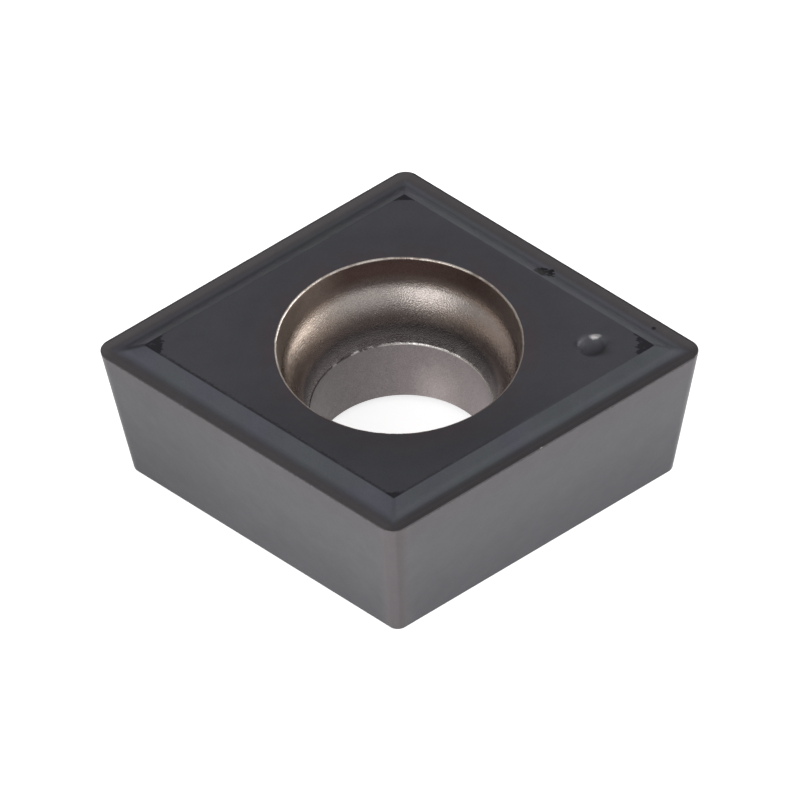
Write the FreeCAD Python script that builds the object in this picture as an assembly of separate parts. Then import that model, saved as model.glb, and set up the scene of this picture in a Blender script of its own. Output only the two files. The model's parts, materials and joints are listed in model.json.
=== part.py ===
"""Single sided turning insert, 80 degree rhombus with 7 degree relief and a moulded chip groove.

Origin: axis of the screw hole on the seat face. +X through an 80 degree nose, +Z up through the hole.
All sizes are in millimetres and degrees.
"""
import FreeCAD, Part
import os
from math import sin, cos, tan, asin, radians

# Outline: the standard 09T304 size
inscribed_circle = 9.525   # circle touching the four cutting edges, seen from above
corner_angle = 80.0        # included angle at the two noses on the X axis
thickness = 3.97           # seat face to cutting edge
relief_angle = 7.0         # lean of the flanks, narrower towards the seat
nose_radius = 0.4          # corner radius at the cutting edge
seat_radius = 0.27         # corner radius where the flanks meet the seat
edge_hone = 0.02           # rounding of the cutting edge

# Chip groove round the rim and the raised land inside it
groove_width = 0.82        # cutting edge to the edge of the land
rake_angle = 14.0          # fall of the groove behind the cutting edge
wall_angle = 25.0          # rise of the groove's back wall
land_rise = 0.155          # land above the cutting edge
ridge_radius = 0.13        # corner radius of the back wall at the groove's floor
land_corner = 0.07         # corner radius of the land
valley_radius = 0.5        # round at the bottom of the groove

# Screw hole
bore_diameter = 4.4
sink_diameter = 6.0        # mouth of the countersink, on the land
sink_depth = 2.15          # land to the foot of the waist
rim_round = 0.05           # round at the mouth
wall_depth = 0.7           # mouth to the foot of the steep wall under it
wall_lean = 8.0            # lean of that wall, from the hole's axis
shoulder_round = 0.75      # bend from steep wall to cone
waist_height = 0.85        # narrow waist under the cone
waist_lean = 10.0
waist_round = 1.8          # bend from cone to waist
ledge_width = 0.035        # small step from the waist in to the bore
ledge_height = 0.028
seat_chamfer = 0.2         # bevel where the bore leaves the seat face

# Moulded index dimple on the land
dimple_reach = 4.62        # hole axis to the dimple's middle, along +X
dimple_radius = 0.42       # out to where the soft rim meets the land
dimple_depth = 0.18
dimple_bowl = 0.42         # rounding of its floor

half_angle = radians(corner_angle / 2)
edge_reach = inscribed_circle / 2
seat_reach = edge_reach - thickness * tan(radians(relief_angle))
land_reach = edge_reach - groove_width
land_height = thickness + land_rise
bore_radius = bore_diameter / 2
rake_slope = tan(radians(rake_angle))
wall_slope = tan(radians(wall_angle))


def groove_valley():
    """Distance behind the cutting edge, and depth, of the line where the rake meets the back wall."""
    back = (groove_width * wall_slope - land_rise) / (rake_slope + wall_slope)
    return back, back * rake_slope


def corner_arcs(reach, radius, height):
    """The four rounded corners of a rhombus whose sides lie `reach` from the axis, in order round it."""
    long_side = (reach - radius) / sin(half_angle)
    short_side = (reach - radius) / cos(half_angle)
    quarter = radians(90)
    corners = [
        (long_side, 0.0, 0.0, quarter - half_angle),
        (0.0, short_side, quarter, half_angle),
        (-long_side, 0.0, 2 * quarter, quarter - half_angle),
        (0.0, -short_side, 3 * quarter, half_angle),
    ]
    arcs = []
    for cx, cy, middle, half in corners:
        points = []
        for turn in (middle - half, middle, middle + half):
            points.append(FreeCAD.Vector(cx + radius * cos(turn), cy + radius * sin(turn), height))
        arcs.append(points)
    return arcs


def outline(arcs):
    edges = []
    for k, points in enumerate(arcs):
        edges.append(Part.Arc(*points).toShape())
        edges.append(Part.makeLine(points[2], arcs[(k + 1) % 4][0]))
    return Part.Face(Part.Wire(edges))


def frustum(low, high):
    """Solid between two rounded rhombi, each given as reach, corner radius and height."""
    lower, upper = corner_arcs(*low), corner_arcs(*high)
    faces = [outline(lower), outline(upper)]
    for k in range(4):
        ends = [Part.Wire(Part.Arc(*arcs[k]).toShape()) for arcs in (lower, upper)]
        faces.extend(Part.makeLoft(ends, False, True).Faces)
        after = (k + 1) % 4
        side = [lower[k][2], lower[after][0], upper[after][0], upper[k][2], lower[k][2]]
        faces.append(Part.Face(Part.makePolygon(side)))
    shell = Part.makeShell(faces)
    shell.sewShape()
    return Part.makeSolid(shell)


def along_ring(edge, reach, height):
    """True when an edge runs level round the body at the given distance and height."""
    for vertex in edge.Vertexes:
        if abs(vertex.Z - height) > 1e-4:
            return False
    middle = edge.valueAt((edge.FirstParameter + edge.LastParameter) / 2)
    side = abs(middle.x) * sin(half_angle) + abs(middle.y) * cos(half_angle)
    return abs(middle.z - height) < 1e-4 and side < reach + 1e-3 and side > reach - nose_radius


def body():
    """Flanks and seat, the groove sunk behind the cutting edge and the land raised inside it."""
    back, depth = groove_valley()
    floor = thickness - depth
    ridge_foot = (edge_reach - back, ridge_radius, floor)
    blank = frustum((seat_reach, seat_radius, 0.0), (edge_reach, nose_radius, thickness))
    tray = frustum(ridge_foot, (edge_reach, nose_radius, thickness))
    land = frustum(ridge_foot, (land_reach, land_corner, land_height))
    base = blank.cut(tray)
    return base.fuse(land).removeSplitter(), floor, edge_reach - back


def softened():
    solid, floor, reach = body()
    valley = [edge for edge in solid.Edges if along_ring(edge, reach, floor)]
    solid = solid.makeFillet(valley_radius, valley)
    rim = [edge for edge in solid.Edges if along_ring(edge, edge_reach, thickness)]
    return solid.makeFillet(edge_hone, rim)


def rounded_loop(corners):
    """Closed wire through corners given as distance from the axis, height and rounding."""
    places = [FreeCAD.Vector(radius, 0, height) for radius, height, _ in corners]
    starts, middles, ends = [], [], []
    for k, here in enumerate(places):
        back = (places[k - 1] - here).normalize()
        ahead = (places[(k + 1) % len(places)] - here).normalize()
        half = back.getAngle(ahead) / 2
        rounding = corners[k][2]
        inward = (back + ahead).normalize() * (rounding / sin(half) - rounding)
        starts.append(here + back * (rounding / tan(half)))
        middles.append(here + inward)
        ends.append(here + ahead * (rounding / tan(half)))
    edges = []
    for k, corner in enumerate(corners):
        if corner[2] > 0:
            edges.append(Part.Arc(starts[k], middles[k], ends[k]).toShape())
        edges.append(Part.makeLine(ends[k], starts[(k + 1) % len(corners)]))
    return Part.Wire(edges)


def screw_hole():
    """Tool shape of the hole: seat bevel, bore, ledge, waist, cone, steep wall and rounded mouth."""
    mouth = sink_diameter / 2
    wall_top = mouth - rim_round
    wall_foot = wall_top - wall_depth * tan(radians(wall_lean))
    waist_foot = land_height - sink_depth
    narrow = bore_radius + ledge_width
    waist = narrow + waist_height * tan(radians(waist_lean))
    beyond = 1.0
    profile = rounded_loop([
        (0.0, -beyond, 0),
        (bore_radius + seat_chamfer, -beyond, 0),
        (bore_radius + seat_chamfer, 0.0, 0),
        (bore_radius, seat_chamfer, 0),
        (bore_radius, waist_foot - ledge_height, 0),
        (narrow, waist_foot, 0),
        (waist, waist_foot + waist_height, waist_round),
        (wall_foot, land_height - wall_depth, shoulder_round),
        (wall_top, land_height, rim_round),
        (mouth + beyond, land_height, 0),
        (mouth + beyond, land_height + beyond, 0),
        (0.0, land_height + beyond, 0),
    ])
    return Part.Face(profile).revolve(FreeCAD.Vector(0, 0, 0), FreeCAD.Vector(0, 0, 1), 360)


def dimple():
    """Tool shape of the dimple: a bowl whose rim rolls over into the land."""
    whole = (dimple_radius ** 2 + dimple_depth ** 2) / (2 * dimple_depth)
    rim_round_over = whole - dimple_bowl
    slope = asin(dimple_radius / whole)
    foot = land_height - dimple_depth

    def bowl(turn):
        return FreeCAD.Vector(dimple_bowl * sin(turn), 0, foot + dimple_bowl * (1 - cos(turn)))

    def rim(turn):
        out = dimple_radius - rim_round_over * sin(turn)
        return FreeCAD.Vector(out, 0, land_height - rim_round_over * (1 - cos(turn)))

    above = land_height + dimple_depth
    edges = [
        Part.Arc(bowl(0), bowl(slope / 2), bowl(slope)).toShape(),
        Part.Arc(bowl(slope), rim(slope / 2), rim(0)).toShape(),
        Part.makeLine(rim(0), FreeCAD.Vector(dimple_radius, 0, above)),
        Part.makeLine(FreeCAD.Vector(dimple_radius, 0, above), FreeCAD.Vector(0, 0, above)),
        Part.makeLine(FreeCAD.Vector(0, 0, above), bowl(0)),
    ]
    tool = Part.Face(Part.Wire(edges)).revolve(FreeCAD.Vector(0, 0, 0), FreeCAD.Vector(0, 0, 1), 360)
    tool.translate(FreeCAD.Vector(dimple_reach, 0, 0))
    return tool


def insert():
    return softened().cut(screw_hole()).cut(dimple())


os.makedirs("parts", exist_ok=True)
insert().exportStep("parts/insert.step")
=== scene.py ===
"""Coated carbide turning insert on a pale studio floor."""

import json
from math import acos, cos, pi, radians, sin, tan

import bpy
import numpy as np
from mathutils import Matrix, Vector


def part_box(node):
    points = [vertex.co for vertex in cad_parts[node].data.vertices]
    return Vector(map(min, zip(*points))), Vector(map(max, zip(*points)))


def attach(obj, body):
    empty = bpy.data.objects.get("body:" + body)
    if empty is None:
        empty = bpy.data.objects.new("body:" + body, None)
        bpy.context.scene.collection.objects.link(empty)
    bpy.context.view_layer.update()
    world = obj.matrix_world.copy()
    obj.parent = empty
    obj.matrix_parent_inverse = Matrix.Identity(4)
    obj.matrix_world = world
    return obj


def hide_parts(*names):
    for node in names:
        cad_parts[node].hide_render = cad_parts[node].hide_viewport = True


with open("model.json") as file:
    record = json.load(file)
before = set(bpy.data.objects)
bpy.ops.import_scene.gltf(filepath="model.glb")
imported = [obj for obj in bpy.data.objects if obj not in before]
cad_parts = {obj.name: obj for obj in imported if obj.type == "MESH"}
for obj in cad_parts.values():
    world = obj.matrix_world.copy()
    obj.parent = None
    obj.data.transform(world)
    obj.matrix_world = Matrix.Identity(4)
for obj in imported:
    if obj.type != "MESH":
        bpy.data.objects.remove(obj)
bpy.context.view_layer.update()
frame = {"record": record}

MM = 0.001
high_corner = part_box("insert")[1]
screw_bore = next(mount for mount in frame["record"]["mounts"] if mount["name"] == "screw_bore")

# Sizes of the insert in millimetres, the same as the solid's
LAND_HEIGHT = high_corner.z / MM
BORE_RADIUS = screw_bore["dims"]["r_mm"]
INSCRIBED_RADIUS = 9.525 / 2
HALF_ANGLE = radians(40)
RELIEF = tan(radians(7))
LAND_RISE = 0.155
EDGE_HEIGHT = LAND_HEIGHT - LAND_RISE
NOSE_RADIUS = 0.4
SEAT_RADIUS = 0.27
EDGE_HONE = 0.02
GROOVE_WIDTH = 0.82
RAKE = tan(radians(14))
BACK_WALL = tan(radians(25))
RIDGE_RADIUS = 0.13
LAND_CORNER = 0.07
VALLEY_RADIUS = 0.5
LAND_EDGE_ROUND = 0.03
# Under the edge: the groove's depth, rounded up, and the top of what only the flanks reach
GROOVE_DEPTH = 0.08
FLANK_DROP = 0.1
MOUTH_RADIUS = 3.0
SINK_DEPTH = 2.15
RIM_ROUND = 0.05
WALL_DEPTH = 0.70
WALL_LEAN = tan(radians(8))
SHOULDER_ROUND = 0.75
WAIST_HEIGHT = 0.85
WAIST_LEAN = tan(radians(10))
WAIST_ROUND = 1.8
LEDGE_WIDTH = 0.035
LEDGE_HEIGHT = 0.028
SEAT_CHAMFER = 0.2
DIMPLE_REACH = 4.62
DIMPLE_RADIUS = 0.42
DIMPLE_DEPTH = 0.18
DIMPLE_BOWL = 0.42
WAIST_FOOT = LAND_HEIGHT - SINK_DEPTH

# Moulding and grinding leave the edges uneven by this much, in millimetres
EDGE_WEAR = 0.006
RIM_WEAR = 0.014
LEDGE_WEAR = 0.022

# Points round each ring, and how much closer together they lie at the corners than along the sides
FAN = 600
CORNER_CROWDING = 1.2
# Rings of the hole's section that still lie on the land and keep its finish
LAND_RINGS = 3
# How near the last ring of a flat lies to its end, in millimetres
END_SUPPORT = 0.02
# Roundings in the scene alone, in millimetres: foot of the flank, ledge, and both edges of the seat's bevel
SEAT_EDGE_ROUND = 0.03
LEDGE_ROUND = 0.015
BEVEL_ROUND = 0.02

rng = np.random.default_rng(9)


def fan_angles():
    """Directions round the axis, closer together towards the four corners."""
    steps = FAN // 4
    across = np.linspace(-1, 1, steps, endpoint=False)
    quarter = pi / 4 * (across + CORNER_CROWDING * across ** 3) / (1 + CORNER_CROWDING)
    return np.concatenate([quarter + k * pi / 2 for k in range(4)])


TURN = fan_angles()


def rhombus(reach, corner):
    """Distance from the axis to a rounded rhombus in each direction of the fan."""
    across, along = np.abs(np.cos(TURN)), np.abs(np.sin(TURN))
    distance = reach / (across * sin(HALF_ANGLE) + along * cos(HALF_ANGLE))
    for near, off, half in ((across, along, HALF_ANGLE), (along, across, pi / 2 - HALF_ANGLE)):
        middle = (reach - corner) / sin(half)
        inside = corner ** 2 - (middle * off) ** 2
        arc = middle * near + np.sqrt(np.maximum(inside, 0))
        on_arc = (inside > 0) & (arc * near > middle + corner * sin(half))
        distance = np.where(on_arc, arc, distance)
    return distance


def uneven(reach, smoothing):
    """Small uneven distances round the fan, a tenth of `reach` or more, smoothed over their neighbours."""
    rough = rng.random(FAN)
    for _ in range(smoothing):
        rough = (np.roll(rough, 1) + 2 * rough + np.roll(rough, -1)) / 4
    rough -= rough.min()
    return reach * (0.1 + 0.9 * rough / rough.max())


def unit(vector):
    return vector / np.linalg.norm(vector)


def rounded(corners):
    """Points along a section. Each corner is x, y, radius, arc steps and steps to the next corner."""
    places = [np.array(corner[:2], float) for corner in corners]
    points = [places[0]]
    for k in range(1, len(corners) - 1):
        here, radius, arc_steps = places[k], corners[k][2], corners[k][3]
        back, ahead = unit(places[k - 1] - here), unit(places[k + 1] - here)
        half = acos(float(np.clip(back @ ahead, -1, 1))) / 2
        middle = here + unit(back + ahead) * radius / sin(half)
        start, end = here + back * radius / tan(half), here + ahead * radius / tan(half)
        points.extend(between(points[-1], start, corners[k - 1][4], radius / 3))
        turn = pi - 2 * half
        for step in range(1, arc_steps):
            share = step / arc_steps
            mix = sin((1 - share) * turn) * (start - middle) + sin(share * turn) * (end - middle)
            points.append(middle + mix / sin(turn))
        points.append(end)
    points.extend(between(points[-1], places[-1], corners[-2][4], END_SUPPORT))
    return np.array(points)


def between(start, end, steps, support):
    """Points after `start` up to `end`, with one close to each end so that the flat between stays flat."""
    length = np.linalg.norm(end - start)
    close = min(support / length, 0.2)
    shares = [close] + [close + (1 - 2 * close) * k / steps for k in range(1, steps + 1)] + [1.0]
    return [start + (end - start) * share for share in shares]


def outer_section():
    """Section through flank, cutting edge, groove and land edge: distance behind the edge, and height.

    It starts and ends on short strips of the seat and the land.
    """
    back = (GROOVE_WIDTH * BACK_WALL - LAND_RISE) / (RAKE + BACK_WALL)
    return rounded([
        (EDGE_HEIGHT * RELIEF + 0.3, 0.0, 0, 0, 1),
        (EDGE_HEIGHT * RELIEF, 0.0, SEAT_EDGE_ROUND, 4, 6),
        (0.0, EDGE_HEIGHT, EDGE_HONE, 6, 4),
        (back, EDGE_HEIGHT - back * RAKE, VALLEY_RADIUS, 8, 4),
        (GROOVE_WIDTH, LAND_HEIGHT, LAND_EDGE_ROUND, 4, 1),
        (GROOVE_WIDTH + 0.08, LAND_HEIGHT, 0, 0, 1),
    ])


def hole_section():
    """Section down the screw hole: distance from the axis, and height, with strips of land and seat."""
    seat = BORE_RADIUS + SEAT_CHAMFER
    waist = BORE_RADIUS + LEDGE_WIDTH
    wall_top = MOUTH_RADIUS - RIM_ROUND
    return rounded([
        (MOUTH_RADIUS + 0.1, LAND_HEIGHT, 0, 0, 1),
        (wall_top, LAND_HEIGHT, RIM_ROUND, 6, 4),
        (wall_top - WALL_DEPTH * WALL_LEAN, LAND_HEIGHT - WALL_DEPTH, SHOULDER_ROUND, 10, 3),
        (waist + WAIST_HEIGHT * WAIST_LEAN, WAIST_FOOT + WAIST_HEIGHT, WAIST_ROUND, 10, 3),
        (waist, WAIST_FOOT, LEDGE_ROUND, 3, 1),
        (BORE_RADIUS, WAIST_FOOT - LEDGE_HEIGHT, LEDGE_ROUND, 3, 10),
        (BORE_RADIUS, SEAT_CHAMFER, BEVEL_ROUND, 3, 3),
        (seat, 0.0, BEVEL_ROUND, 3, 1),
        (seat + 0.1, 0.0, 0, 0, 1),
    ])


def corner_radius(behind, height):
    """Corner radius of the outline: growing from seat to nose, then tighter across the groove to the land."""
    if height < EDGE_HEIGHT - FLANK_DROP:
        return SEAT_RADIUS + (NOSE_RADIUS - SEAT_RADIUS) * height / EDGE_HEIGHT
    ridge = np.interp(height, (EDGE_HEIGHT - GROOVE_DEPTH, LAND_HEIGHT), (RIDGE_RADIUS, LAND_CORNER))
    return max(NOSE_RADIUS - behind, ridge)


def land_shares(tip, mouth):
    """Shares of the way from the land's edge to the hole, closer together where the dimple lies."""
    start, end = [(tip - DIMPLE_REACH + side * DIMPLE_RADIUS) / (tip - mouth) for side in (-1, 1)]
    before = np.linspace(0, start, 6)
    across = np.linspace(start, end, 26)
    after = np.linspace(end, 1, 8)
    return np.concatenate([before[1:], across[1:], after[1:-1]])


def insert_rings():
    """Rings round the axis, as distances and heights, and the number where the hole's finish starts."""
    radii, heights = [], []

    def ring(radius, height):
        radii.append(radius)
        heights.append(np.full(FAN, height))

    edge_wear = uneven(EDGE_WEAR, 1)
    rim_wear = uneven(RIM_WEAR, 12) - uneven(RIM_WEAR / 2, 1)
    ledge_wear = uneven(LEDGE_WEAR, 8) + uneven(LEDGE_WEAR / 2, 1)
    for behind, height in outer_section():
        near_edge = abs(behind) < 3 * EDGE_HONE and height > EDGE_HEIGHT - 3 * EDGE_HONE
        radius = rhombus(INSCRIBED_RADIUS - behind, corner_radius(behind, height))
        ring(radius - edge_wear * near_edge, height)
    hole = hole_section()
    land_edge = radii[-1]
    for share in land_shares(land_edge.max(), hole[0][0]):
        ring(land_edge * (1 - share) + hole[0][0] * share, LAND_HEIGHT)
    finish_change = len(radii) + LAND_RINGS
    for radius, height in hole:
        at_rim = height > LAND_HEIGHT - 2 * RIM_ROUND and radius < MOUTH_RADIUS
        at_ledge = abs(height - WAIST_FOOT) < LEDGE_HEIGHT / 2 and radius > BORE_RADIUS + LEDGE_WIDTH / 2
        ring(radius + rim_wear * at_rim - ledge_wear * at_ledge, height)
    return np.array(radii), np.array(heights), finish_change


def dimple_drop(x, y):
    """Depth of the index dimple: a bowl whose rim rolls over into the land."""
    whole = (DIMPLE_RADIUS ** 2 + DIMPLE_DEPTH ** 2) / (2 * DIMPLE_DEPTH)
    rim = whole - DIMPLE_BOWL
    away = np.hypot(x - DIMPLE_REACH, y)
    bowl = DIMPLE_DEPTH - DIMPLE_BOWL + np.sqrt(np.maximum(DIMPLE_BOWL ** 2 - away ** 2, 0))
    inward = np.maximum(DIMPLE_RADIUS - away, 0)
    rolled = rim - np.sqrt(rim ** 2 - np.minimum(inward, rim) ** 2)
    return np.where(away < DIMPLE_RADIUS * DIMPLE_BOWL / whole, bowl, rolled)


def insert_mesh():
    """Closed mesh through all rings, and from the last one back to the first across the seat."""
    radii, heights, finish_change = insert_rings()
    x, y = radii * np.cos(TURN), radii * np.sin(TURN)
    on_land = (heights > LAND_HEIGHT - 1e-6) & (x > MOUTH_RADIUS)
    heights = heights - np.where(on_land, dimple_drop(x, y), 0)
    rings = len(radii)
    points = np.stack([x, y, heights], -1).reshape(-1, 3) * MM
    here, after = np.arange(FAN), (np.arange(FAN) + 1) % FAN
    faces, finish = [], []
    for k in range(rings):
        low, high = k * FAN, (k + 1) % rings * FAN
        faces.append(np.stack([low + here, low + after, high + after, high + here], -1))
        in_hole = k >= finish_change and heights[k].mean() > SEAT_CHAMFER - BEVEL_ROUND
        finish.extend([int(in_hole)] * FAN)
    mesh = bpy.data.meshes.new("insert_body")
    mesh.from_pydata(points.tolist(), [], np.concatenate(faces).tolist())
    mesh.polygons.foreach_set("use_smooth", [True] * len(mesh.polygons))
    mesh.polygons.foreach_set("material_index", finish)
    mesh.update()
    return mesh


class Finish:
    """Node tree of one metal finish. Places on the insert are read in millimetres."""

    def __init__(self, name, roughness):
        self.material = bpy.data.materials.new(name)
        self.material.use_nodes = True
        self.nodes, self.links = self.material.node_tree.nodes, self.material.node_tree.links
        self.shader = self.nodes["Principled BSDF"]
        self.shader.inputs["Metallic"].default_value = 1.0
        self.shader.inputs["Roughness"].default_value = roughness
        coordinates = self.nodes.new("ShaderNodeTexCoord")
        self.place = self.vector("SCALE", coordinates.outputs["Object"], scale=1 / MM)
        self.x, self.y, self.z = self.split(self.place)
        self.facing_up = self.split(coordinates.outputs["Normal"])[2]

    def feed(self, socket, value):
        """Link a socket to a node's output, or set it to a colour or a number."""
        if isinstance(value, bpy.types.NodeSocket):
            self.links.new(value, socket)
        elif isinstance(value, tuple) and socket.type == "RGBA":
            socket.default_value = (*value, 1)
        else:
            socket.default_value = value

    def split(self, vector):
        node = self.nodes.new("ShaderNodeSeparateXYZ")
        self.links.new(vector, node.inputs[0])
        return node.outputs

    def math(self, operation, *values):
        node = self.nodes.new("ShaderNodeMath")
        node.operation = operation
        for socket, value in zip(node.inputs, values):
            self.feed(socket, value)
        return node.outputs[0]

    def sum(self, first, second):
        return self.math("ADD", first, second)

    def product(self, first, second):
        return self.math("MULTIPLY", first, second)

    def vector(self, operation, *values, scale=None):
        node = self.nodes.new("ShaderNodeVectorMath")
        node.operation = operation
        for socket, value in zip(node.inputs, values):
            self.feed(socket, value)
        if scale is not None:
            self.feed(node.inputs["Scale"], scale)
        return node.outputs[0]

    def fade(self, value, low, high, start=0.0, end=1.0):
        """Smooth step from `start` at `low` to `end` at `high`."""
        node = self.nodes.new("ShaderNodeMapRange")
        node.interpolation_type = "SMOOTHSTEP"
        sockets = ("Value", "From Min", "From Max", "To Min", "To Max")
        for name, number in zip(sockets, (value, low, high, start, end)):
            self.feed(node.inputs[name], number)
        return node.outputs["Result"]

    def noise(self, per_mm, detail=2.0, shift=0.0, stretch=(1.0, 1.0, 1.0)):
        """Noise from 0 to 1 with `per_mm` features to the millimetre. Each use has a shift of its own."""
        node = self.nodes.new("ShaderNodeTexNoise")
        node.inputs["Scale"].default_value = per_mm
        node.inputs["Detail"].default_value = detail
        moved = self.vector("MULTIPLY_ADD", self.place, stretch, (shift, shift * 0.7, -shift))
        self.links.new(moved, node.inputs["Vector"])
        return node.outputs["Fac"]

    def wander(self, per_mm, reach, shift=0.0, detail=3.0):
        """Noise about zero, up to roughly `reach` either way."""
        return self.product(self.sum(self.noise(per_mm, detail, shift), -0.5), 3 * reach)

    def band(self, value, rise, fall):
        """1 between two edges, each given as where the smooth step starts and ends."""
        return self.product(self.fade(value, *rise), self.fade(value, *fall))

    def mix(self, share, first, second):
        """Colour that goes from the first to the second as `share` goes from 0 to 1."""
        node = self.nodes.new("ShaderNodeMix")
        node.data_type = "RGBA"
        self.feed(node.inputs[0], share)
        self.feed(node.inputs[6], first)
        self.feed(node.inputs[7], second)
        return node.outputs[2]

    def tinted(self, colour, share):
        """Colour made lighter or darker by a factor."""
        return self.vector("SCALE", colour, scale=share)

    def away_from(self, x, y, stretch=1.0):
        """Distance from a place seen from above, where lengths along X count less by the stretch."""
        along = self.math("POWER", self.product(self.sum(self.x, -x), 1 / stretch), 2)
        across = self.math("POWER", self.sum(self.y, -y), 2)
        return self.math("SQRT", self.sum(along, across))

    def spot(self, x, y, radius, blur, shift, stretch=1.0):
        """Ragged spot on the top face, `stretch` times as long along X."""
        ragged = self.sum(self.away_from(x, y, stretch), self.wander(9, radius * 0.45, shift))
        return self.product(self.fade(ragged, radius + blur, radius), self.fade(self.facing_up, 0.3, 0.6))

    def dressed(self, colour, roughness, bumps):
        """Finished material. Bumps are pairs of a height from 0 to 1 and a depth in millimetres."""
        self.feed(self.shader.inputs["Base Color"], colour)
        self.feed(self.shader.inputs["Roughness"], roughness)
        normal = None
        for height, depth in bumps:
            bump = self.nodes.new("ShaderNodeBump")
            bump.inputs["Distance"].default_value = depth * MM
            self.feed(bump.inputs["Height"], height)
            if normal:
                self.links.new(normal, bump.inputs["Normal"])
            normal = bump.outputs[0]
        self.links.new(normal, self.shader.inputs["Normal"])
        return self.material


# Colours of the metal seen straight on; several of them also serve as painted highlights, painted light and
# painted shade
LAND_GREY = (0.138, 0.139, 0.156)
LAND_BROWN = (0.150, 0.124, 0.136)
WALL_BLUE = (0.140, 0.142, 0.170)
WALL_TEAL = (0.137, 0.146, 0.160)
RAKE_BROWN = (0.154, 0.142, 0.150)
# Painted shade at the foot of the flanks
FLANK_PAINTED_SHADE = (0.126, 0.125, 0.137)
FLANK_GREY = (0.157, 0.155, 0.166)
EDGE_PURPLE = (0.162, 0.150, 0.160)
# Dark of bare metal, also the painted shade on the dimple's left wall
DARK_OF_BARE_AND_PAINTED_SHADE = (0.054, 0.051, 0.060)
CHIP_LIGHT = (0.42, 0.40, 0.40)
# Painted highlight: the glint on the dimple's far wall
PAINTED_GLINT = (0.66, 0.64, 0.64)
PATCH_DARK = (0.028, 0.026, 0.030)
# Dark of the ragged line under the cutting edge, also the painted shade on the far cutting edges
DARK_EDGE_AND_PAINTED_SHADE = (0.052, 0.048, 0.052)
# Painted highlight and painted shade down the near rounded corner
CORNER_PAINTED_HIGHLIGHT = (0.176, 0.156, 0.163)
CORNER_PAINTED_SHADE = (0.146, 0.132, 0.137)
BRONZE = (0.35, 0.312, 0.292)
# Painted highlight on the cone's right side
CONE_PAINTED_HIGHLIGHT_BRONZE = (0.46, 0.405, 0.380)
RIM_LIGHT = (0.66, 0.60, 0.55)
# Painted highlight on the ledge, and painted shadow under it on the left
LEDGE_PAINTED_HIGHLIGHT = (0.85, 0.82, 0.80)
BURR_PAINTED_SHADOW = (0.05, 0.042, 0.042)
WALL_BROWN = (0.175, 0.120, 0.104)
# Painted light on the left and right sides of the steep wall
SIDE_WALL_PAINTED_LIGHT = (0.50, 0.43, 0.39)
# Warmer tint on the left, also lighter there as painted highlight
WARMER_PAINTED_LIGHT_BRONZE = (0.45, 0.380, 0.325)
# Painted shade down the waist
WAIST_PAINTED_SHADE = (0.155, 0.138, 0.138)
WAIST_FOOT_GREY = (0.32, 0.295, 0.292)
# Painted shade and painted light in the bore, darker to the left and lighter to the right
BORE_PAINTED_SHADE = (0.23, 0.208, 0.208)
BORE_PAINTED_LIGHT = (0.40, 0.350, 0.352)

# Roughness of the coating, the dimple's bowl, the hole's cone and steep wall, and the bore
COATING_ROUGHNESS = 0.33
DIMPLE_ROUGHNESS = 0.6
CONE_ROUGHNESS = 0.26
STEEP_ROUGHNESS = 0.37
BORE_ROUGHNESS = 0.38

# Bands in millimetres behind the cutting edge: rake into back wall, back wall into land, and the land proper
RAKE_TO_WALL = (0.22, 0.42)
WALL_TO_LAND = (GROOVE_WIDTH - 0.03, GROOVE_WIDTH + 0.03)
ON_LAND = (GROOVE_WIDTH, GROOVE_WIDTH + 0.1)
# Where the back wall takes painted shade, the valley's line of painted shade on the near sides and its line
# of painted highlight on the far ones
PAINTED_SHADE_WALL = (0.46, 0.60)
PAINTED_SHADE_LINE = ((0.16, 0.28), (0.42, 0.32))
PAINTED_HIGHLIGHT_LINE = ((0.26, 0.38), (0.60, 0.48))
# Left to right, and near to far
RIGHT_HALF = (-0.5, 0.5)
FAR_HALF = (-0.5, 0.5)
# Distances from the hole's axis at which the land turns brown and dulls, and where it dulls to the near side
BROWN_RING = (3.8, 3.1)
DULL_RING = (4.6, 3.6)
DULL_NEAR_SIDE = (-0.8, -3.2)
# Bands in millimetres below it: purple into grey, grey into the painted shade at the foot of the flank, and
# the ragged edge
PURPLE_TO_GREY = (0.1, 1.0)
GREY_TO_PAINTED_SHADE = (1.2, 3.8)
RAGGED_EDGE = (0.07, 0.01)

# Bands in the hole: along X the cone's pale side, which is painted highlight, its warm side, which is
# warmer and also painted highlight, and the bore's side of painted light; up the steep wall from its foot,
# up the waist from its foot into painted shade, and down the bore
PAINTED_HIGHLIGHT_RIGHT = (1.0, 2.4)
WARMER_PAINTED_LIGHT_LEFT = (-1.2, -2.4)
PAINTED_LIGHT_ACROSS_BORE = (-1.8, 1.4)
WALL_START = (LAND_HEIGHT - WALL_DEPTH - 0.1, LAND_HEIGHT - WALL_DEPTH + 0.3)
DULL_STEEP = (LAND_HEIGHT - WALL_DEPTH, LAND_HEIGHT - WALL_DEPTH + 0.15)
PAINTED_SHADE_UP_WAIST = (WAIST_FOOT + 0.68, WAIST_FOOT + 0.45)
GREY_WAIST = (WAIST_FOOT + 0.36, WAIST_FOOT + 0.04)
IN_BORE = (WAIST_FOOT, WAIST_FOOT - 0.05)
# The bore's painted light streak: its place along X, its half width, and the heights between which it grows
PLACE_OF_PAINTED_STREAK = 0.75
HALF_WIDTH_OF_PAINTED_STREAK = 0.75
HEIGHTS_OF_PAINTED_STREAK = (1.7, 0.5)

# Broken patch on the land's far edge
CHIPPED_PATCH = (3.44, 2.61, 0.17, 0.05, 41, 1.3)
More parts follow.
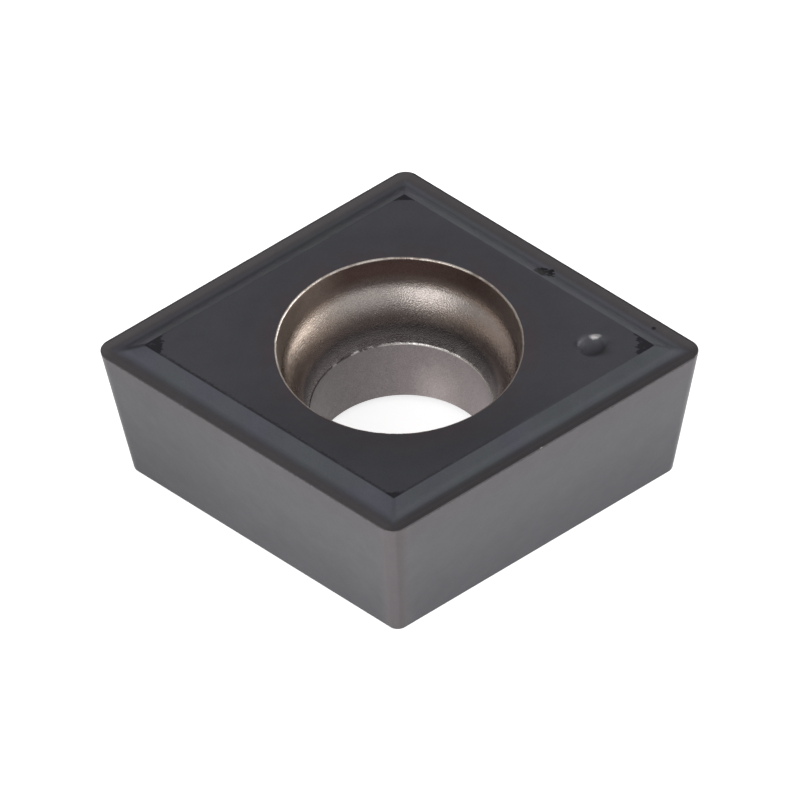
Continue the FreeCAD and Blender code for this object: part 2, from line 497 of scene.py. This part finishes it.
# Other marks on the top face: X and Y from the screw hole's axis, radius and blur in millimetres, shift of
# the noise, stretch along X, strength and colour. They are a pit, the dimple's painted shade and its painted
# highlight (a glint), a fleck on the land and a chip in the cutting edge.
MARKS = [
    (6.09, 0.78, 0.035, 0.03, 47, 1.0, 1.0, DARK_OF_BARE_AND_PAINTED_SHADE),
    (4.34, 0.02, 0.06, 0.16, 73, 1.0, 0.7, DARK_OF_BARE_AND_PAINTED_SHADE),
    (4.70, 0.33, 0.03, 0.05, 79, 2.4, 0.7, PAINTED_GLINT),
    (2.23, -4.40, 0.015, 0.03, 53, 1.0, 1.0, CHIP_LIGHT),
    (3.48, -3.295, 0.02, 0.03, 59, 1.0, 1.0, CHIP_LIGHT),
]
# Size of the worn triangles, at the corners across the insert and at its ends
CORNER_WEAR = (0.33, 0.58)


def coating():
    """Satin grey coating: bluish on land and back wall, brown in the groove, purple under the edge."""
    finish = Finish("coating", COATING_ROUGHNESS)
    slant_x = finish.product(finish.math("ABSOLUTE", finish.x), sin(HALF_ANGLE))
    slant_y = finish.product(finish.math("ABSOLUTE", finish.y), cos(HALF_ANGLE))
    behind = finish.math("SUBTRACT", INSCRIBED_RADIUS, finish.sum(slant_x, slant_y))
    gap = finish.math("ABSOLUTE", finish.math("SUBTRACT", slant_x, slant_y))
    from_next_side = finish.math("SUBTRACT", INSCRIBED_RADIUS, gap)

    colour = top_colour(finish, behind)
    colour = finish.mix(finish.fade(finish.facing_up, 0.65, 0.15), colour, flank_colour(finish))
    # Painted shade: the far cutting edges darkened, where they reflect the studio's dark back
    painted_shade_on_far_side_edges = finish.product(finish.fade(behind, 0.07, 0.02), finish.fade(finish.y, -0.2, 0.2))
    colour = finish.mix(painted_shade_on_far_side_edges, colour, DARK_EDGE_AND_PAINTED_SHADE)
    colour = land_shade(finish, colour, behind)
    colour = finish.mix(bare_corners(finish, behind, from_next_side), colour, DARK_OF_BARE_AND_PAINTED_SHADE)
    dimple = dimple_bowl(finish)
    # Painted shade: the dimple's bowl made a quarter darker
    colour = finish.tinted(colour, finish.fade(dimple, 0.0, 1.0, 1.0, 0.75))
    colour = marked(finish, colour)
    mottle = finish.sum(1.0, finish.sum(finish.wander(1.3, 0.05, 11), finish.wander(22, 0.07, 17)))
    roughness = finish.fade(dimple, 0.0, 1.0, COATING_ROUGHNESS, DIMPLE_ROUGHNESS)
    roughness = finish.sum(roughness, finish.wander(2.2, 0.03, 23))
    bumps = [(finish.noise(2.0, 3, 5), 0.010), (finish.noise(22, 2, 7), 0.0022)]
    return finish.dressed(finish.tinted(colour, mottle), roughness, bumps)


def top_colour(finish, behind):
    """Brown rake, back wall between blue and teal, and grey land, with painted shade and painted highlight in
    the groove.
    """
    back_wall = finish.mix(finish.fade(finish.noise(0.7, 2, 97), 0.4, 0.6), WALL_BLUE, WALL_TEAL)
    colour = finish.mix(finish.fade(behind, *RAKE_TO_WALL), RAKE_BROWN, back_wall)
    colour = finish.tinted(colour, painted_groove_light(finish, behind))
    return finish.mix(finish.fade(behind, *WALL_TO_LAND), colour, LAND_GREY)


def flank_colour(finish):
    """Flanks from purple under the edge to grey, with painted shade darkening them down to the seat, on the
    right and at the left end.
    """
    below = finish.math("SUBTRACT", EDGE_HEIGHT, finish.sum(finish.z, finish.wander(2.5, 0.25, 3)))
    colour = finish.mix(finish.fade(below, *PURPLE_TO_GREY), EDGE_PURPLE, FLANK_GREY)
    colour = finish.mix(finish.fade(below, *GREY_TO_PAINTED_SHADE), colour, FLANK_PAINTED_SHADE)
    under_edge = finish.math("SUBTRACT", EDGE_HEIGHT, finish.z)
    ragged = finish.fade(finish.sum(under_edge, finish.wander(16, 0.05, 83)), *RAGGED_EDGE)
    colour = finish.mix(finish.product(ragged, 0.6), colour, DARK_EDGE_AND_PAINTED_SHADE)
    colour = painted_corner_light(finish, colour)
    # Painted shade: the right flanks and the left end darker
    right = finish.fade(finish.x, -0.3, 0.6, 1.03, 0.89)
    left_end = finish.fade(finish.x, -3.0, -6.5, 1.0, 0.82)
    return finish.tinted(colour, finish.product(right, left_end))


def land_shade(finish, colour, behind):
    """Land a little darker on the near side and round the hole, with brown blotches along the hole's rim."""
    on_land = finish.fade(behind, *ON_LAND)
    from_axis = finish.away_from(0, 0)
    blotches = finish.fade(finish.noise(1.6, 2, 101), 0.3, 0.55)
    brown = finish.product(finish.fade(from_axis, *BROWN_RING), finish.product(blotches, on_land))
    colour = finish.mix(finish.product(brown, 0.65), colour, LAND_BROWN)
    near = finish.fade(finish.y, *DULL_NEAR_SIDE, 0.0, 0.17)
    ring = finish.fade(from_axis, *DULL_RING, 0.0, 0.065)
    shade = finish.product(finish.sum(near, ring), on_land)
    return finish.tinted(colour, finish.math("SUBTRACT", 1.0, shade))


def dimple_bowl(finish):
    """1 inside the index dimple, fading out towards its rim."""
    inside = finish.fade(finish.away_from(DIMPLE_REACH, 0), DIMPLE_RADIUS * 0.95, DIMPLE_RADIUS * 0.6)
    return finish.product(inside, finish.fade(finish.z, LAND_HEIGHT - 0.5, LAND_HEIGHT - 0.3))


def painted_groove_light(finish, behind):
    """Painted shade on the back walls of two sides and along the floor of the near grooves, and a painted
    highlight along the floor of the far ones.
    """
    right = finish.fade(finish.x, *RIGHT_HALF)
    far = finish.fade(finish.y, *FAR_HALF)
    left = finish.math("SUBTRACT", 1.0, right)
    near = finish.math("SUBTRACT", 1.0, far)
    shade_left = finish.product(finish.product(left, far), 0.30)
    shade_right = finish.product(finish.product(right, near), 0.13)
    dull = finish.product(finish.sum(shade_left, shade_right), finish.fade(behind, *PAINTED_SHADE_WALL))
    floor_share = finish.fade(finish.x, *RIGHT_HALF, 0.10, 0.30)
    floor_shade = finish.product(finish.product(finish.band(behind, *PAINTED_SHADE_LINE), near), floor_share)
    bright = finish.product(finish.product(finish.band(behind, *PAINTED_HIGHLIGHT_LINE), far), 0.25)
    return finish.math("SUBTRACT", finish.sum(1.0, bright), finish.sum(dull, floor_shade))


def painted_corner_light(finish, colour):
    """Pink painted highlight and brown painted shade, side by side in streaks down the rounded corner."""
    along_corner = finish.fade(finish.math("ABSOLUTE", finish.x), 0.42, 0.2)
    painted_stripe = finish.product(along_corner, finish.fade(finish.y, -3.0, -4.0))
    to_right = finish.fade(finish.sum(finish.x, finish.wander(2, 0.03, 89)), 0.02, 0.10)
    tint = finish.mix(to_right, CORNER_PAINTED_HIGHLIGHT, CORNER_PAINTED_SHADE)
    return finish.mix(finish.product(painted_stripe, 0.75), colour, tint)


def bare_corners(finish, behind, from_next_side):
    """Dark ragged line just inside the land's edge on the near sides, and a worn triangle at each corner."""
    inset = finish.sum(behind, -GROOVE_WIDTH)
    flat = finish.fade(finish.facing_up, 0.8, 0.98)
    on_land = finish.product(finish.fade(inset, -0.01, 0.02), flat)

    reach = finish.sum(inset, finish.sum(from_next_side, -GROOVE_WIDTH))
    streaks = finish.sum(finish.noise(3.2, 3, 29, stretch=(1, 3, 1)), -0.5)
    size = finish.fade(finish.math("ABSOLUTE", finish.x), 1.5, 4.0, *CORNER_WEAR)
    inside = finish.math("SUBTRACT", size, finish.sum(reach, finish.product(streaks, 0.55)))
    patchy = finish.fade(finish.noise(9, 2, 71), 0.25, 0.42, 0.55, 1.0)
    corner = finish.product(finish.fade(inside, -0.03, 0.05), patchy)

    line = finish.fade(finish.sum(inset, finish.wander(18, 0.05, 31)), 0.10, 0.04)
    side = finish.product(finish.fade(finish.x, 1.5, -1.5, 0.45, 0.75), finish.fade(finish.x, 3.4, 2.2))
    side = finish.product(side, finish.fade(finish.y, 0.6, -0.6))
    broken = finish.fade(finish.noise(3.0, 3, 37), 0.3, 0.5, 0.6, 1.0)
    line = finish.product(finish.product(line, side), broken)
    return finish.product(finish.math("MAXIMUM", line, corner), on_land)


def marked(finish, colour):
    """The chips, pit and fleck that the top face carries, and the painted shade and painted highlight in the
    dimple.
    """
    broken = finish.fade(finish.noise(9, 2, 43), 0.33, 0.43)
    patch = finish.product(finish.spot(*CHIPPED_PATCH), broken)
    colour = finish.mix(patch, colour, PATCH_DARK)
    for x, y, radius, blur, shift, stretch, strength, tone in MARKS:
        mark = finish.product(finish.spot(x, y, radius, blur, shift, stretch), strength)
        colour = finish.mix(mark, colour, tone)
    return colour


def hole_finish():
    """Grainy bronze of the countersink, browner up its wall and warmer to the left, grey down the bore, with
    painted light on the wall's sides, the cone's right and left and the bore's right, and painted shade down
    the waist.
    """
    finish = Finish("countersink", CONE_ROUGHNESS)
    to_side = finish.math("ABSOLUTE", finish.x)
    # Painted light: the steep wall far lighter on its left and right sides, standing in for reflections of
    # the bright cone
    wall = finish.mix(finish.fade(to_side, 1.7, 2.95), WALL_BROWN, SIDE_WALL_PAINTED_LIGHT)
    # Painted highlight: the cone paler towards the right
    cone = finish.mix(finish.fade(finish.x, *PAINTED_HIGHLIGHT_RIGHT), BRONZE, CONE_PAINTED_HIGHLIGHT_BRONZE)
    colour = finish.mix(finish.fade(finish.z, *WALL_START), cone, wall)
    # Warmer tint on the left, and lighter there as painted highlight
    colour = finish.mix(finish.fade(finish.x, *WARMER_PAINTED_LIGHT_LEFT), colour, WARMER_PAINTED_LIGHT_BRONZE)
    # Painted shade: the waist darkened below the bright cone, easing to grey at its foot
    colour = finish.mix(finish.fade(finish.z, *PAINTED_SHADE_UP_WAIST), colour, WAIST_PAINTED_SHADE)
    colour = finish.mix(finish.fade(finish.z, *GREY_WAIST), colour, WAIST_FOOT_GREY)
    bore = finish.fade(finish.z, *IN_BORE)
    # Painted light and shade in the bore: lighter to the right, with a painted lighter streak low down
    bore_colour = finish.mix(finish.fade(finish.x, *PAINTED_LIGHT_ACROSS_BORE), BORE_PAINTED_SHADE, BORE_PAINTED_LIGHT)
    from_streak = finish.math("ABSOLUTE", finish.sum(finish.x, -PLACE_OF_PAINTED_STREAK))
    painted_stripe = finish.fade(from_streak, HALF_WIDTH_OF_PAINTED_STREAK, 0.0)
    painted_stripe = finish.product(painted_stripe, finish.fade(finish.z, *HEIGHTS_OF_PAINTED_STREAK, 0.0, 0.45))
    colour = finish.mix(bore, colour, finish.tinted(bore_colour, finish.sum(1.0, painted_stripe)))
    colour = hole_edges(finish, colour)
    mottle = finish.sum(1.0, finish.sum(finish.wander(34, 0.26, 19, 1), finish.wander(5, 0.08, 21)))
    steep = finish.fade(finish.z, *DULL_STEEP, CONE_ROUGHNESS, STEEP_ROUGHNESS)
    roughness = finish.fade(bore, 0.0, 1.0, steep, BORE_ROUGHNESS)
    roughness = finish.sum(roughness, finish.wander(5, 0.03, 23))
    bumps = [(finish.noise(3.0, 2, 5), 0.006), (finish.noise(30, 2, 2), 0.008)]
    return finish.dressed(finish.tinted(colour, mottle), roughness, bumps)


def hole_edges(finish, colour):
    """Polished mouth, and the ledge: its flash painted as a bright highlight on the right, and a painted
    shadow under a burr on the left, speckled with the same highlight.
    """
    rim = finish.fade(finish.z, LAND_HEIGHT - RIM_ROUND - 0.005, LAND_HEIGHT - 0.02)
    worn = finish.fade(finish.noise(2.5, 3, 61), 0.35, 0.6, 0.25, 1.0)
    worn = finish.product(worn, finish.fade(finish.y, -1.8, -0.6, 0.4, 1.0))
    worn = finish.product(worn, finish.fade(finish.x, 1.5, 2.9, 1.0, 0.65))
    colour = finish.mix(finish.product(rim, worn), colour, RIM_LIGHT)
    from_ledge = finish.math("ABSOLUTE", finish.sum(finish.z, LEDGE_HEIGHT / 2 - WAIST_FOOT))
    ledge = finish.fade(finish.sum(from_ledge, finish.wander(8, 0.012, 67)), 0.045, 0.02)
    # Painted shadow under the ledge on the left
    burr = finish.product(ledge, finish.fade(finish.x, -0.4, -1.1, 0.0, 0.65))
    colour = finish.mix(burr, colour, BURR_PAINTED_SHADOW)
    specks = finish.fade(finish.noise(7, 2, 103), 0.42, 0.54)
    specks = finish.product(specks, finish.fade(finish.x, -1.9, -1.5, 0.0, 0.6))
    # Painted highlight where the ledge catches the light
    flash = finish.math("MAXIMUM", specks, finish.fade(finish.x, -0.5, -0.1))
    return finish.mix(finish.product(ledge, flash), colour, LEDGE_PAINTED_HIGHLIGHT)


def add_insert():
    """The one piece, with the coating outside and the hole's own finish inside."""
    mesh = insert_mesh()
    piece = bpy.data.objects.new("insert_body", mesh)
    bpy.context.scene.collection.objects.link(piece)
    mesh.materials.append(coating())
    mesh.materials.append(hole_finish())
    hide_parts("insert")
    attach(piece, "root")


# Floor: its width in metres, its grey, and how far under the seat it lies, in millimetres
FLOOR_WIDTH = 1.2
FLOOR_GREY = (0.8, 0.8, 0.8)
FLOOR_DROP = 0.01
# Whiteness that it adds in the camera's eye, and in reflections
FLOOR_WHITE = 0.76
FLOOR_SHEEN = 0.42


def add_floor():
    """Pale paper floor that keeps the insert's shadow."""
    bpy.ops.mesh.primitive_plane_add(size=FLOOR_WIDTH, location=(0, 0, -FLOOR_DROP * MM))
    floor = bpy.context.object
    floor.name = "floor"
    material = bpy.data.materials.new("floor_paper")
    material.use_nodes = True
    nodes, links = material.node_tree.nodes, material.node_tree.links
    nodes.clear()
    out = nodes.new("ShaderNodeOutputMaterial")
    diffuse = nodes.new("ShaderNodeBsdfDiffuse")
    diffuse.inputs["Color"].default_value = (*FLOOR_GREY, 1)
    glow = nodes.new("ShaderNodeEmission")
    path = nodes.new("ShaderNodeLightPath")
    seen = nodes.new("ShaderNodeMath")
    seen.operation = "MULTIPLY"
    links.new(path.outputs["Is Camera Ray"], seen.inputs[0])
    seen.inputs[1].default_value = FLOOR_WHITE
    strength = nodes.new("ShaderNodeMath")
    strength.operation = "MULTIPLY_ADD"
    links.new(path.outputs["Is Glossy Ray"], strength.inputs[0])
    strength.inputs[1].default_value = FLOOR_SHEEN
    links.new(seen.outputs[0], strength.inputs[2])
    links.new(strength.outputs[0], glow.inputs["Strength"])
    add = nodes.new("ShaderNodeAddShader")
    links.new(diffuse.outputs[0], add.inputs[0])
    links.new(glow.outputs[0], add.inputs[1])
    links.new(add.outputs[0], out.inputs["Surface"])
    floor.data.materials.append(material)


def toward(direction, elevation):
    """Unit vector that many degrees to the right of the camera's side, and up from the floor."""
    turn, lift = radians(direction), radians(elevation)
    return Vector((sin(turn) * cos(lift), -cos(turn) * cos(lift), sin(lift)))


# Round lamps: name, degrees to the right of the camera's side, degrees up, metres across and watts
LAMPS = [
    ("key", -29, 36, 0.18, 0.16),
    ("fill", 110, 14, 0.20, 0.32),
    ("side", -102, 36, 0.22, 0.035),
]
LAMP_DISTANCE = 0.25


def soft_lamp(name, direction, elevation, size, power):
    """Round lamp aimed at the insert."""
    away = toward(direction, elevation)
    light = bpy.data.lights.new(name, "AREA")
    light.shape = "DISK"
    light.size = size
    light.energy = power
    lamp = bpy.data.objects.new(name, light)
    bpy.context.scene.collection.objects.link(lamp)
    lamp.location = away * LAMP_DISTANCE
    lamp.rotation_euler = away.to_track_quat("Z", "Y").to_euler()


# Direction of the studio's darker walls, in degrees to the right of the camera's side
DARK_SIDE = -135
# Brightness of the studio's walls and ceiling by the sine of the elevation, on the dark side and on the other
BACK_LIGHT = [(0.0, 0.10), (0.2, 0.18), (0.39, 0.19), (0.71, 0.16), (0.88, 0.42), (1.0, 0.52)]
FRONT_LIGHT = [(0.0, 0.5), (0.39, 0.9), (0.60, 1.15), (0.82, 0.8), (0.92, 0.55), (1.0, 0.50)]


def add_world():
    """Studio that lights the insert, plain white to the camera itself."""
    world = bpy.data.worlds.new("studio")
    bpy.context.scene.world = world
    world.use_nodes = True
    nodes, links = world.node_tree.nodes, world.node_tree.links
    nodes.clear()
    out = nodes.new("ShaderNodeOutputWorld")
    room = nodes.new("ShaderNodeBackground")
    white = nodes.new("ShaderNodeBackground")
    coord = nodes.new("ShaderNodeTexCoord")
    split = nodes.new("ShaderNodeSeparateXYZ")
    links.new(coord.outputs["Generated"], split.inputs[0])
    halves = []
    for stops in (FRONT_LIGHT, BACK_LIGHT):
        ramp = nodes.new("ShaderNodeValToRGB")
        ramp.color_ramp.interpolation = "EASE"
        links.new(split.outputs["Z"], ramp.inputs["Fac"])
        while len(ramp.color_ramp.elements) < len(stops):
            ramp.color_ramp.elements.new(0.5)
        for element, (place, value) in zip(ramp.color_ramp.elements, stops):
            element.position = place
            element.color = (value, value, value, 1)
        halves.append(ramp.outputs["Color"])
    along = nodes.new("ShaderNodeVectorMath")
    along.operation = "DOT_PRODUCT"
    links.new(coord.outputs["Generated"], along.inputs[0])
    along.inputs[1].default_value = toward(DARK_SIDE, 0)
    side = nodes.new("ShaderNodeMapRange")
    side.inputs["From Min"].default_value = -1
    links.new(along.outputs["Value"], side.inputs["Value"])
    walls = nodes.new("ShaderNodeMix")
    walls.data_type = "RGBA"
    links.new(side.outputs["Result"], walls.inputs[0])
    links.new(halves[0], walls.inputs[6])
    links.new(halves[1], walls.inputs[7])
    links.new(walls.outputs[2], room.inputs["Color"])
    mix = nodes.new("ShaderNodeMixShader")
    path = nodes.new("ShaderNodeLightPath")
    links.new(path.outputs["Is Camera Ray"], mix.inputs[0])
    links.new(room.outputs[0], mix.inputs[1])
    links.new(white.outputs[0], mix.inputs[2])
    white.inputs["Color"].default_value = (1, 1, 1, 1)
    links.new(mix.outputs[0], out.inputs["Surface"])


# Camera, solved from the insert's outline in the photograph
CAMERA_TURN = radians(2.797)
CAMERA_LIFT = radians(45.339)
CAMERA_ROLL = radians(-1.945)
CAMERA_DISTANCE = 496.3
PIXELS_PER_MM = 41.45
IMAGE_SIZE = 800
# Where the foot of the hole's axis lies in the picture
AXIS_PIXEL = (403.29, 465.61)
SENSOR_WIDTH = 36
NEAREST_SEEN = 0.01


def add_camera():
    """Camera far from the insert, turned a little about its own line of sight."""
    away, across = cos(CAMERA_LIFT) * cos(CAMERA_TURN), cos(CAMERA_LIFT) * sin(CAMERA_TURN)
    back = Vector((across, -away, sin(CAMERA_LIFT)))
    level = Vector((cos(CAMERA_TURN), sin(CAMERA_TURN), 0))
    rise = back.cross(level)
    right = level * cos(CAMERA_ROLL) + rise * sin(CAMERA_ROLL)
    up = rise * cos(CAMERA_ROLL) - level * sin(CAMERA_ROLL)
    shift_right = (AXIS_PIXEL[0] - IMAGE_SIZE / 2) / PIXELS_PER_MM
    shift_down = (AXIS_PIXEL[1] - IMAGE_SIZE / 2) / PIXELS_PER_MM
    place = (back * CAMERA_DISTANCE - right * shift_right + up * shift_down) * MM
    data = bpy.data.cameras.new("camera")
    data.sensor_width = SENSOR_WIDTH
    data.lens = PIXELS_PER_MM * CAMERA_DISTANCE * SENSOR_WIDTH / IMAGE_SIZE
    data.clip_start = NEAREST_SEEN
    camera = bpy.data.objects.new("camera", data)
    bpy.context.scene.collection.objects.link(camera)
    turn = Matrix((right, up, back)).transposed().to_4x4()
    camera.matrix_world = Matrix.Translation(place) @ turn
    bpy.context.scene.camera = camera


add_camera()
add_world()
add_floor()
add_insert()
for lamp_values in LAMPS:
    soft_lamp(*lamp_values)
bpy.context.scene.view_settings.view_transform = "Standard"
